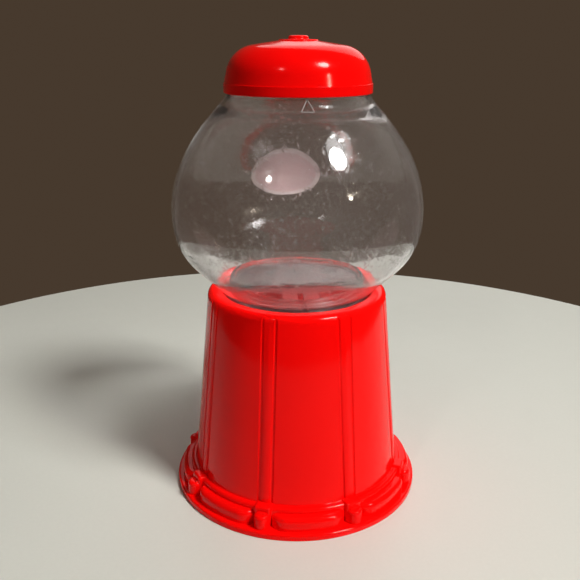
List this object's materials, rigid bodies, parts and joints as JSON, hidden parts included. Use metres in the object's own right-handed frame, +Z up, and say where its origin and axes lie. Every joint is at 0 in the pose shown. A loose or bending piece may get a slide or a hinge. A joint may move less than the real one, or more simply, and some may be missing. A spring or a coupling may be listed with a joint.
{
  "type": "gumball machine",
  "caption": "Toy gumball bank: clear round globe with a red lid on a fluted red base, with a turn knob, coin slot, dispensing wheel and flap chute.",
  "frame": {"origin": "on the floor under the globe's vertical axis, at the centre of the foot flange", "axes": "+Z up, -Y is the front with the knob, +X is the right-hand side seen from the front"},
  "size_m": [0.158, 0.158, 0.2794],
  "materials": {
    "red_plastic": "glossy moulded red",
    "clear_plastic": "clear, slightly wavy and scuffed",
    "silver_plastic": "bright metallised",
    "white_nylon": "natural nylon",
    "grey_plastic": "satin moulded",
    "red_flap": "glossy moulded red",
    "black_plastic": "fine-textured moulded",
    "steel": "zinc plated",
    "vinyl_label": "satin printed vinyl",
    "soft_rubber": "soft black"
  },
  "bodies": {
    "base": {"base_shell": "red_plastic", "bottom_plate": "black_plastic", "bottom_screws": "steel", "hopper_deck": "red_plastic", "deck_screws": "steel", "hopper_cup": "clear_plastic", "globe_gasket": "soft_rubber", "globe": "clear_plastic", "front_label": "vinyl_label", "mechanism_frame": "grey_plastic", "mechanism_screws": "steel", "shaft_bush": "white_nylon", "pawl_pin": "steel", "pawl_spring": "steel", "front_plate": "silver_plastic", "flap_pin": "steel", "ball_chute": "grey_plastic"},
    "knob": {"knob": "silver_plastic", "knob_screw": "steel", "knob_cap": "silver_plastic", "drive_shaft": "steel", "drive_pinion": "white_nylon", "coin_drum": "white_nylon", "ratchet_wheel": "white_nylon", "shaft_clip": "steel"},
    "wheel": {"dispensing_wheel": "red_plastic", "crown_gear": "white_nylon", "gear_washer": "steel", "gear_screw": "steel"},
    "pawl": {"pawl": "white_nylon"},
    "flap": {"chute_flap": "red_flap"},
    "lid": {"lid": "red_plastic"},
    "coin_door": {"coin_door": "black_plastic"}
  },
  "joints": [
    {"name": "knob_turn", "type": "hinge", "parent": "base", "child": "knob", "pos_m": [0, -0.0665, 0.09], "axis": [0, 1, 0], "continuous": true},
    {"name": "wheel_turn", "type": "hinge", "parent": "base", "child": "wheel", "pos_m": [0, 0, 0.11], "axis": [0, 0, 1], "continuous": true},
    {"name": "pawl_lift", "type": "hinge", "parent": "base", "child": "pawl", "pos_m": [-0.012, -0.0283, 0.102], "axis": [0, -1, 0], "range_deg": [0, 10], "stiffness_Nm_per_rad": 0.0005, "springref_deg": -17.19, "deforming": ["pawl_spring"]},
    {"name": "flap_swing", "type": "hinge", "parent": "base", "child": "flap", "pos_m": [0, -0.0706, 0.0605], "axis": [-1, 0, 0], "range_deg": [0, 80]},
    {"name": "lid_lift", "type": "slide", "parent": "base", "child": "lid", "axis": [0, 0, 1], "range_m": [0, 0.05]},
    {"name": "coin_door_turn", "type": "hinge", "parent": "base", "child": "coin_door", "pos_m": [0, 0, 0.003], "axis": [0, 0, 1], "range_deg": [0, 90]}
  ],
  "couplings": [
    {"joint": "wheel_turn", "follows": "knob_turn", "ratio": 0.25}
  ]
}
